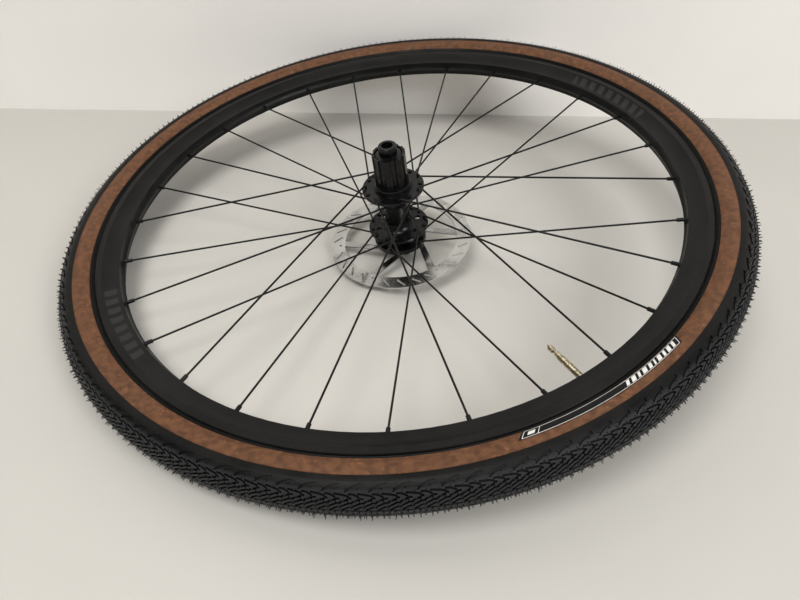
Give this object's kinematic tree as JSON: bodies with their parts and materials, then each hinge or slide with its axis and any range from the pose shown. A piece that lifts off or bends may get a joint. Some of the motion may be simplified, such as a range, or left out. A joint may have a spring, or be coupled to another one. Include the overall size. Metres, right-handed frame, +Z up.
{
  "type": "bicycle wheel",
  "caption": "Spoked rear bicycle wheel with a tan-walled gravel tyre, a disc-brake hub, a splined freehub, a brake disc and a valve; it rolls on a through-axle.",
  "frame": {"origin": "centre of the wheel, on the hub axle's axis and midway between the dropout faces", "axes": "+Y along the axle towards the brake disc (rider's left), +Z up, +X forward; the splined freehub is on the -Y side and positive turns about +Y roll the wheel forward"},
  "size_m": [0.7119, 0.142, 0.712],
  "materials": {
    "tan_sidewall": "matte, fabric grained",
    "black_rubber": "matte",
    "steel": "machined",
    "black_alloy": "satin anodised",
    "tape": "smooth",
    "black_steel": "satin",
    "bare_alloy": "turned",
    "disc_steel": "ground",
    "valve_brass": "nickel-washed"
  },
  "bodies": {
    "axle": {"axle": "bare_alloy", "end_cap_drive": "black_alloy", "end_cap_disc": "black_alloy", "freehub_axle_spacer": "bare_alloy", "hub_axle_spacer": "bare_alloy", "hub_bearing_drive_inner_race": "steel", "hub_bearing_disc_inner_race": "steel", "freehub_bearing_outer_inner_race": "steel", "freehub_bearing_inner_inner_race": "steel"},
    "wheel": {"tyre_casing": "tan_sidewall", "tyre_tread": "black_rubber", "bead_chafer_drive": "black_rubber", "bead_chafer_disc": "black_rubber", "bead_core_drive": "steel", "bead_core_disc": "steel", "inner_tube": "black_rubber", "valve_base": "black_rubber", "rim": "black_alloy", "rim_tape": "tape", "hub_shell": "black_alloy", "ratchet_ring": "steel", "brake_disc": "disc_steel", "brake_disc_bolts": "steel", "valve_stem": "valve_brass", "spokes_drive_leading": "black_steel", "nipples_drive_leading": "black_alloy", "spokes_drive_trailing": "black_steel", "nipples_drive_trailing": "black_alloy", "spokes_disc_leading": "black_steel", "nipples_disc_leading": "black_alloy", "spokes_disc_trailing": "black_steel", "nipples_disc_trailing": "black_alloy", "hub_bearing_drive_outer_race": "steel", "hub_bearing_drive_shields": "black_rubber", "hub_bearing_disc_outer_race": "steel", "hub_bearing_disc_shields": "black_rubber"},
    "freehub": {"freehub_body": "black_alloy", "freehub_seal": "black_rubber", "freehub_bearing_sleeve": "bare_alloy", "pawl_spring": "steel", "freehub_bearing_outer_outer_race": "steel", "freehub_bearing_outer_shields": "black_rubber", "freehub_bearing_inner_outer_race": "steel", "freehub_bearing_inner_shields": "black_rubber"},
    "pawl_first": {"pawl_first": "steel"},
    "pawl_second": {"pawl_second": "steel"},
    "pawl_third": {"pawl_third": "steel"},
    "valve_pin": {"valve_pin": "valve_brass"},
    "valve_nut": {"valve_nut": "valve_brass"},
    "hub_bearing_drive_balls": {"hub_bearing_drive_balls": "steel", "hub_bearing_drive_cage": "steel"},
    "hub_bearing_disc_balls": {"hub_bearing_disc_balls": "steel", "hub_bearing_disc_cage": "steel"},
    "freehub_bearing_outer_balls": {"freehub_bearing_outer_balls": "steel", "freehub_bearing_outer_cage": "steel"},
    "freehub_bearing_inner_balls": {"freehub_bearing_inner_balls": "steel", "freehub_bearing_inner_cage": "steel"}
  },
  "joints": [
    {"name": "wheel_spin", "type": "hinge", "parent": "axle", "child": "wheel", "pos_m": [0, 0, 0], "axis": [0, 1, 0], "continuous": true},
    {"name": "freehub_spin", "type": "hinge", "parent": "axle", "child": "freehub", "pos_m": [0, 0, 0], "axis": [0, 1, 0], "continuous": true},
    {"name": "valve_pin_press", "type": "slide", "parent": "wheel", "child": "valve_pin", "axis": [-0.4339, 0, 0.901], "range_m": [0, 0.002], "stiffness_N_per_m": 800, "springref_m": -0.0005},
    {"name": "valve_nut_turn", "type": "hinge", "parent": "valve_pin", "child": "valve_nut", "pos_m": [-0.11107, 0, 0.23065], "axis": [-0.4339, 0, 0.901], "range_deg": [0, 1080]},
    {"name": "pawl_first_swing", "type": "hinge", "parent": "freehub", "child": "pawl_first", "pos_m": [0.011, -0.0212, 0], "axis": [0, -1, 0], "range_deg": [0, 10]},
    {"name": "pawl_second_swing", "type": "hinge", "parent": "freehub", "child": "pawl_second", "pos_m": [-0.0055, -0.0212, -0.00953], "axis": [0, -1, 0], "range_deg": [0, 10]},
    {"name": "pawl_third_swing", "type": "hinge", "parent": "freehub", "child": "pawl_third", "pos_m": [-0.0055, -0.0212, 0.00953], "axis": [0, -1, 0], "range_deg": [0, 10]},
    {"name": "hub_bearing_drive_balls_roll", "type": "hinge", "parent": "axle", "child": "hub_bearing_drive_balls", "pos_m": [0, -0.014, 0], "axis": [0, 1, 0], "continuous": true},
    {"name": "hub_bearing_disc_balls_roll", "type": "hinge", "parent": "axle", "child": "hub_bearing_disc_balls", "pos_m": [0, 0.046, 0], "axis": [0, 1, 0], "continuous": true},
    {"name": "freehub_bearing_outer_balls_roll", "type": "hinge", "parent": "axle", "child": "freehub_bearing_outer_balls", "pos_m": [0, -0.0535, 0], "axis": [0, 1, 0], "continuous": true},
    {"name": "freehub_bearing_inner_balls_roll", "type": "hinge", "parent": "axle", "child": "freehub_bearing_inner_balls", "pos_m": [0, -0.0285, 0], "axis": [0, 1, 0], "continuous": true}
  ],
  "couplings": [
    {"joint": "hub_bearing_drive_balls_roll", "follows": "wheel_spin", "ratio": 0.5814},
    {"joint": "hub_bearing_disc_balls_roll", "follows": "wheel_spin", "ratio": 0.5814},
    {"joint": "freehub_bearing_outer_balls_roll", "follows": "freehub_spin", "ratio": 0.561},
    {"joint": "freehub_bearing_inner_balls_roll", "follows": "freehub_spin", "ratio": 0.561}
  ]
}
